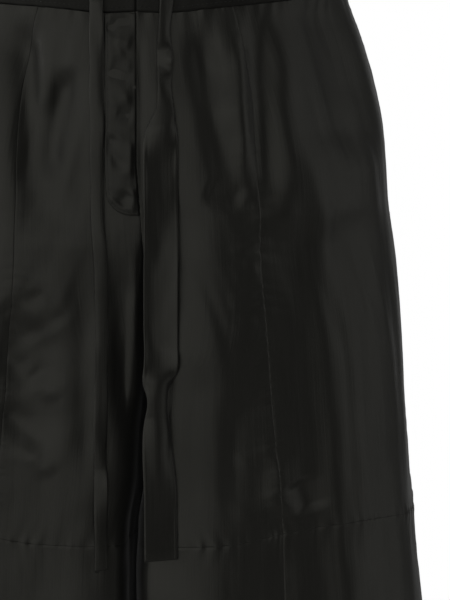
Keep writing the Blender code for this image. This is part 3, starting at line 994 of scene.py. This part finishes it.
def on_grid(grid, rows, columns):
    """Reads a grid of points or directions between its lines."""
    rows, columns = np.broadcast_arrays(np.asarray(rows, float), np.asarray(columns, float))
    i = np.clip(rows.astype(int), 0, grid.shape[0] - 2)
    j = np.clip(columns.astype(int), 0, grid.shape[1] - 2)
    t, u = (rows - i)[:, None], (columns - j)[:, None]
    upper = grid[i, j] * (1 - u) + grid[i, j + 1] * u
    lower = grid[i + 1, j] * (1 - u) + grid[i + 1, j + 1] * u
    return upper * (1 - t) + lower * t


def stitches(name, path, out):
    """A row of stitches along a path of points, on the side that out points to."""
    run = np.concatenate([[0], np.cumsum(np.linalg.norm(np.diff(path, axis=0), axis=1))])
    places = np.arange(STITCH_PITCH, run[-1] - STITCH_PITCH, STITCH_PITCH)
    row = bmesh.new()
    for place in places:
        middle, ahead, up = (
            Vector([np.interp(at, run, line[:, k]) for k in range(3)])
            for at, line in ((place, path), (place + STITCH_LENGTH / 2, path), (place, out))
        )
        along = (ahead - middle).normalized()
        side = along.cross(up).normalized()
        turn = Matrix((along, side, side.cross(along))).transposed().to_4x4()
        size = Matrix.Diagonal((STITCH_LENGTH, STITCH_THICK, STITCH_THICK, 1))
        where = Matrix.Translation(middle) @ turn @ size
        bmesh.ops.create_icosphere(row, subdivisions=1, radius=0.5, matrix=where)
    mesh = bpy.data.meshes.new(name)
    row.to_mesh(mesh)
    row.free()
    mesh.shade_smooth()
    mesh.materials.append(thread)
    piece = bpy.data.objects.new(name, mesh)
    bpy.context.collection.objects.link(piece)
    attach(piece, "root")
    print(name, len(places), "stitches")
    return piece


# %% [markdown]
# ## The panels
#
# Each leg is sewn from a centre, a side and a back panel, above and below the knee seam. A panel
# is a grid over its stretch of the form, finer beside its seams, where the cloth bends sharply.

# %% Panels of the legs
UPPER = np.concatenate(
    [finer(even(118), 0.267, True, False)[:-1], 1 + finer(even(118), 0.130, False)]
)
LOWER = 2 + finer(even(130), 0.585)
PANEL_MARKS = {
    "centre": ("inner_front", "near_front", "panel"),
    "side": ("panel", "side"),
    "back": ("side", "near_back", "inner_back"),
}
PANEL_SHARES = {
    "centre": (even(24, False), finer(even(76), 0.080, False)),
    "side": (finer(even(72), 0.130),),
    "back": (finer(even(60), 0.200, True, False)[:-1], even(20)),
}
FLY_END_Z = -0.175
HEM_STITCH_UP = 0.020
FLY_TUCK = 0.0010
FLY_TUCK_X = 0.0033
FLY_TUCK_WIDTH = 0.0036
FLY_TUCK_TOP_Z = -0.062
ROWS = {float(level): Row(level) for level in np.concatenate([UPPER, LOWER])}


def panel_points(leg, levels, part):
    """Points, flat lay-out and directions of one panel, with all its relief."""
    start, end = PANEL_MARKS[part][0], PANEL_MARKS[part][-1]
    found = [ROWS[float(level)].turns_between(PANEL_MARKS[part], PANEL_SHARES[part]) for level in levels]
    turns, run = (np.array(column) for column in zip(*found))
    level = np.broadcast_to(levels[:, None], turns.shape)
    z = height(turns, level)
    plain = cloth(leg, turns, z)
    out = outward(leg, turns, z)
    x = plain[..., 0]
    relief = slack(leg, turns, z)
    relief = relief + seam_relief(start, run - run[:, :1], z, z, leg)
    relief = relief + seam_relief(end, run[:, -1:] - run, z, z, leg)
    knee = np.abs(z - knee_seam_z(np.degrees(turns)))
    relief = relief + seam_relief("knee", knee, turns * 0.11, z, leg)
    if levels[0] == LOWER[0]:
        relief = relief + ledge(knee, turns * 0.11)
    relief = relief + seam_relief("waist", np.abs(z - height(turns, 0.0)), turns * 0.11, z, leg)
    relief = relief + seam_relief("hem", np.abs(z - HEM_Z), turns * 0.12, z, leg)
    forward = ease(-out[..., 1], FACING_FROM, FACING_FULL)
    backward = ease(out[..., 1], FACING_FROM, FACING_FULL)
    off_middle = ease(np.abs(x), 0.0, FOLDS_FROM_MIDDLE / 2)
    relief = relief + crease_height(FRONT_CREASES, x, z) * forward * off_middle
    relief = relief + crease_height(BACK_CREASES, x, z) * backward * off_middle
    if leg == 1 and part == "centre":
        beside_fly = ease(z, FLY_END_Z, FLY_END_Z + 0.02) * ease(-z, -FLY_TUCK_TOP_Z - 0.02, -FLY_TUCK_TOP_Z)
        tuck = np.exp(-(((x - FLY_TUCK_X) / FLY_TUCK_WIDTH) ** 2))
        relief = relief - FLY_TUCK * tuck * beside_fly
    flat = np.stack([run - run.mean(axis=1, keepdims=True), z], axis=-1)
    return plain + out * relief[..., None], flat, out, area_of(plain)


FRONTS = {1: [], -1: []}

for leg, suffix in ((1, "left"), (-1, "right")):
    for part in PANEL_MARKS:
        for tier, levels in (("upper", UPPER), ("lower", LOWER)):
            name = {"centre": "front_centre", "side": "front_side", "back": "back"}[part]
            name = name + "_" + tier + "_" + suffix
            hangs = ["waistband_back"] if tier == "upper" else [name.replace("lower", "upper")]
            points, flat, out, area = panel_points(leg, levels, part)
            if part == "centre":
                FRONTS[leg].append(points)
            sewn = []
            if tier == "lower":
                row = np.interp(3 - HEM_STITCH_UP / (KNEE_SEAM[0].z - HEM_Z), LOWER, np.arange(len(LOWER)))
                columns = np.arange(points.shape[1])
                path, ups = on_grid(points, row, columns), on_grid(out, row, columns)
                sewn = [stitches(name + "_hem_stitches", path, ups)]
            dress(name, points, flat, out, satin_panel, area)

# %% [markdown]
# ## Waistband
#
# The band is doubled cloth, so it is thicker and smoother than the panels, and it stands a little
# proud of them. It has a line of edge stitching near its lower seam.

# %% Waistband
BAND_LEVELS = np.linspace(-1, 0, 19)
BAND_WALL = 0.0022
BAND_COLUMNS = 110
BAND_STITCH_ROW = 16.2


def band_points(leg, start, end):
    """Points, lay-out and directions of one stretch of the band."""
    found = [Row(level).turns_between((start, end), (even(BAND_COLUMNS),)) for level in BAND_LEVELS]
    turns, run = (np.array(column) for column in zip(*found))
    z = height(turns, np.broadcast_to(BAND_LEVELS[:, None], turns.shape))
    out = outward(leg, turns, z)
    level = BAND_LEVELS[:, None]
    rounded = -0.0008 * np.exp(-((level + 1) / 0.05) ** 2) - 0.0006 * np.exp(-(level / 0.10) ** 2)
    waves = 0.00025 * ripple(run / 0.016, 2.0 + leg) * (1 + level)
    waves = waves + 0.0006 * rumple(run / 0.03, level * 2, 5)
    points = cloth(leg, turns, z) + out * (BAND_OUT + rounded + waves)[..., None]
    return points, np.stack([leg * run, z], axis=-1), out


def dress_band(name, points, flat, out):
    """One stretch of the band, with its line of edge stitching."""
    columns = np.arange(points.shape[1])
    path, ups = (on_grid(grid, BAND_STITCH_ROW, columns) for grid in (points, out))
    sewn = [stitches(name + "_stitches", path, ups)]
    dress(name, points, flat, out, satin_band, area_of(points), wall=BAND_WALL)


for leg, suffix in ((1, "left"), (-1, "right")):
    points, flat, out = band_points(leg, "inner_front", "side")
    FRONTS[leg].append(points)
    dress_band("waistband_front_" + suffix, points, flat, out)

left, left_flat, left_out = band_points(1, "side", "inner_back")
right, right_flat, right_out = band_points(-1, "side", "inner_back")
middle = (left[:, -1:] + right[:, -1:]) / 2
middle_out = (left_out[:, -1:] + right_out[:, -1:]) / 2
points = np.concatenate([left[:, :-1], middle, right[:, -2::-1]], axis=1)
out = np.concatenate([left_out[:, :-1], middle_out, right_out[:, -2::-1]], axis=1)
right_flat = right_flat + (left_flat[:, -1:] - right_flat[:, -1:])
right_flat[..., 1] = height(np.pi, BAND_LEVELS)[:, None]
left_flat[..., 1] = height(np.pi, BAND_LEVELS)[:, None]
flat = np.concatenate([left_flat, right_flat[:, -2::-1]], axis=1)
dress_band("waistband_back", points, flat, out)

# %% [markdown]
# ## Fly placket
#
# The placket is a narrow flap with a rounded lower corner. Its stitching shows as a line along its
# left edge, and between that line and the folded edge the satin pulls into uneven slanting creases.

# %% Fly placket
FLY_ROWS = 96
FLY_COLUMNS = 22
FLY_LIFT = 0.0009
FLY_THICK = 0.0017
FLY_SHELL = 0.0008
FLY_STITCH_IN = 0.0022
FLY_STITCH_COLUMN = FLY_COLUMNS * (1 - FLY_STITCH_IN / FLY_WIDTH)


FLY_CREASES = (
    # across from the folded edge, and down from the waist seam
    Crease(0.001, 0.003, 0.022, 0.013, 0.0036, -0.0016, 0.001),
    Crease(0.003, 0.022, 0.015, 0.018, 0.0030, 0.0012),
    Crease(0.008, 0.026, 0.021, 0.034, 0.0032, 0.0010),
    Crease(0.002, 0.046, 0.020, 0.040, 0.0030, -0.0012),
    Crease(0.004, 0.058, 0.019, 0.064, 0.0034, 0.0012),
    Crease(0.002, 0.074, 0.014, 0.070, 0.0030, -0.0010),
    Crease(0.019, 0.086, 0.009, 0.112, 0.0034, -0.0018, 0.002),
    Crease(0.003, 0.090, 0.006, 0.118, 0.0030, 0.0014),
    Crease(0.006, 0.127, 0.014, 0.137, 0.0034, -0.0018),
    Crease(0.002, 0.124, 0.004, 0.138, 0.0024, 0.0010),
)


def fly_points(leg=-1):
    """Points of the placket: it follows the right centre panel, a little further out."""
    across = np.linspace(0, FLY_WIDTH, FLY_COLUMNS + 1)
    corner = np.clip((across - (FLY_WIDTH - FLY_CORNER)) / FLY_CORNER, 0, 1)
    length = FLY_LENGTH - FLY_CORNER * (1 - np.sqrt(1 - corner**2))
    down = np.linspace(0.0003, 1, FLY_ROWS + 1)[:, None] * length
    levels = np.linspace(0, 0.65, 60)
    turn_at = np.array([np.interp(across, Row(level).run, Row(level).turns) for level in levels])
    front_top = float(height(0.0, 0.0))
    level = down / (front_top - CROTCH_Z)
    turns = np.stack([np.interp(level[:, i], levels, turn_at[:, i]) for i in range(len(across))], axis=1)
    z = front_top - down
    out = outward(leg, turns, z)
    from_edge = np.minimum(FLY_WIDTH - across, (length - down) * 0.8)
    stitched = -0.0004 * np.exp(-(((from_edge - FLY_STITCH_IN) / 0.0010) ** 2))
    free = ease(across, 0.0, 0.004) * ease(from_edge, 0.0, 0.004)
    bubbles = crease_height(FLY_CREASES, across + 0 * z, down)
    ripples = 0.0005 * ripple(down / 0.0115 + across / 0.02, 3.3) * np.exp(-from_edge / 0.009)
    ripples = ripples + 0.0004 * rumple(across / 0.006, down / 0.010, 71)
    lift = FLY_LIFT + (FLY_THICK - FLY_LIFT) * ease(from_edge, -0.001, 0.004) * ease(across, -0.001, 0.006)
    relief = lift + stitched + (bubbles + ripples) * free
    points = cloth(leg, turns, z) + out * relief[..., None]
    return points, np.stack([-across + 0 * z, z], axis=-1), out


points, flat, out = fly_points()
down_line = np.linspace(0, FLY_ROWS - 1.6, 90)
across_line = np.linspace(FLY_STITCH_COLUMN, 0, 30)
rows = np.concatenate([down_line, np.full(29, down_line[-1])])
columns = np.concatenate([np.full(90, FLY_STITCH_COLUMN), across_line[1:]])
sewn = stitches("fly_stitches", on_grid(points, rows, columns), on_grid(out, rows, columns))
area = area_of(points)
dress("fly_placket", points, flat, out, satin_fly, area, wall=FLY_SHELL)

# %% [markdown]
# ## Hanging ties
#
# Both ties are strips of one cut, 25 mm wide. A strip is described by its middle line, by how far
# it curls about its length (one is curled into a flat tube all the way), and by how it turns. It
# hangs straight down from the places where it touches the cloth behind it, so it bridges the hollow
# below the fly.

# %% How the ties hang


class TieRow(NamedTuple):
    """A tie's middle at a height, how far it curls (degrees in all), and its turn."""

    z: float
    x: float
    curl: float
    turn: float


LEFT_TIE = (
    TieRow(-0.006, 0.0232, 290, 28),
    TieRow(-0.030, 0.0215, 292, 33),
    TieRow(-0.050, 0.0205, 290, 28),
    TieRow(-0.064, 0.0202, 285, -12),
    TieRow(-0.078, 0.0206, 285, 30),
    TieRow(-0.098, 0.0204, 240, 14),
    TieRow(-0.114, 0.0184, 90, 10),
    TieRow(-0.128, 0.0172, 15, 14),
    TieRow(-0.165, 0.0170, -12, 17),
    TieRow(-0.190, 0.0170, -30, 10),
    TieRow(-0.215, 0.0170, -44, 2),
    TieRow(-0.251, 0.0170, -46, 0),
    TieRow(-0.284, 0.0168, -26, 10),
    TieRow(-0.304, 0.0155, 170, 27),
    TieRow(-0.335, 0.0158, 105, 26),
    TieRow(-0.372, 0.0164, 22, 23),
    TieRow(-0.427, 0.0166, -8, 19),
)

RIGHT_TIE = (
    TieRow(-0.006, -0.0280, 315, 0),
    TieRow(-0.030, -0.0280, 320, -6),
    TieRow(-0.064, -0.0281, 320, 6),
    TieRow(-0.106, -0.0280, 320, 0),
    TieRow(-0.164, -0.0279, 320, 2),
    TieRow(-0.182, -0.0274, 320, 0),
    TieRow(-0.205, -0.0258, 316, 6),
    TieRow(-0.236, -0.0254, 316, 12),
    TieRow(-0.308, -0.0260, 318, 14),
    TieRow(-0.350, -0.0266, 314, 16),
    TieRow(-0.372, -0.0267, 314, -4),
    TieRow(-0.400, -0.0264, 316, 18),
    TieRow(-0.436, -0.0264, 310, 14),
)

BEHIND = 1.0


def front_y(leg, x, z):
    """How far forward the dressed cloth stands at a place on the front, creases and band included."""
    found = [np.full(len(x), BEHIND)]
    for points in FRONTS[leg]:
        if points[..., 2].min() - 0.004 < z < points[..., 2].max() + 0.004:
            columns = near(points, x)
            line = [[np.interp(-z, -column[:, 2], column[:, k]) for k in (0, 1)] for column in columns]
            line = np.array(line)
            order = np.argsort(line[:, 0])
            found.append(np.interp(x, line[order, 0], line[order, 1]))
    return np.min(found, axis=0)


def near(points, x):
    """The columns of a grid that pass behind these places."""
    inside = (points[..., 0].max(axis=0) > x.min() - 0.004) & (points[..., 0].min(axis=0) < x.max() + 0.004)
    return points[:, inside].transpose(1, 0, 2)


def hang(fits, heights):
    """Lets a strip hang from where it touches: it swings back slowly and is pushed out early."""
    drops = -np.diff(heights)
    fits = fits.copy()
    for i in range(1, len(fits)):
        fits[i] = min(fits[i], fits[i - 1] + SWING_BACK * drops[i - 1])
    for i in range(len(fits) - 2, -1, -1):
        fits[i] = min(fits[i], fits[i + 1] + SWING_OUT * drops[i])
    return fits



def strip_section(curl, turn, along):
    """Cross-sections of a strip, one for each curl: flat at 0, a flattened tube near 300 degrees."""
    bend = np.outer(np.radians(curl), along / TIE_WIDTH)
    flat_x = along * np.sinc(bend / math.pi)
    flat_y = along * bend / 2 * np.sinc(bend / (2 * math.pi)) ** 2
    flat_y = flat_y * (1 - TIE_FLATTEN * ease(np.abs(curl), 60, 240))[:, None]
    turn = np.radians(turn)[:, None]
    x = flat_x * np.cos(turn) - flat_y * np.sin(turn)
    return x, flat_x * np.sin(turn) + flat_y * np.cos(turn)


def tie_points(leg, rows, slant, seed):
    """Points of a tie with narrow rolled hems and its own small waves."""
    heights = np.linspace(rows[0].z, rows[-1].z, TIE_FINE_ROWS + 1)
    middle, curl, turn = (smooth_line(rows, column)(heights) for column in ("x", "curl", "turn"))
    along = np.linspace(-TIE_WIDTH / 2, TIE_WIDTH / 2, TIE_FINE_COLUMNS + 1)
    x, y = strip_section(curl, turn, along)
    x = x + middle[:, None]
    fits = [np.min(front_y(leg, x[i], z) - y[i]) - TIE_CLEAR for i, z in enumerate(heights)]
    y = y + hang(np.array(fits), heights)[:, None]
    z = np.broadcast_to(heights[:, None], x.shape).copy()
    z[-6:] += slant * along / TIE_WIDTH * np.linspace(0, 1, 6)[:, None]
    points = np.stack([x, y, z], axis=-1)
    out = np.cross(np.gradient(points, axis=0), np.gradient(points, axis=1))
    out = out / np.linalg.norm(out, axis=-1, keepdims=True)
    out = out * -np.sign(np.sum(out[:, TIE_FINE_COLUMNS // 2, 1]))
    wave = TIE_WAVE * rumple(along[None, :] / 0.008 + 0 * heights[:, None], heights[:, None] / 0.022, seed)
    hem = TIE_HEM * np.exp(-(((TIE_WIDTH / 2 - TIE_HEM_IN - np.abs(along)) / 0.0008) ** 2))
    points = points + out * (wave + hem)[..., None]
    return points, np.stack([along + 0 * z, z], axis=-1), out


TIE_CLEAR = 0.0011
TIE_WAVE = 0.0005
TIE_HEM = 0.0003
TIE_HEM_IN = 0.0012
TIE_FINE_ROWS = 260
TIE_FINE_COLUMNS = 36
TIE_SHELL = 0.0009
for name, leg, rows, slant, seed in (
    ("tie_left", 1, LEFT_TIE, 0.0, 91),
    ("tie_right", -1, RIGHT_TIE, TIE_SLANT, 92),
):
    points, flat, out = tie_points(leg, rows, slant, seed)
    hangs = ["waistband_front_" + name.split("_")[1]]
    dress(name, points, flat, out, satin_tie, area_of(points), wall=TIE_SHELL, offset=0.0)

# %% [markdown]
# ## Size of the imported model
#
# The visual model has to keep the size of the imported one, so the imported model's box is printed.

# %% Sizes and finish
print("cad", [[round(c, 4) for c in corner] for corner in cad_box])
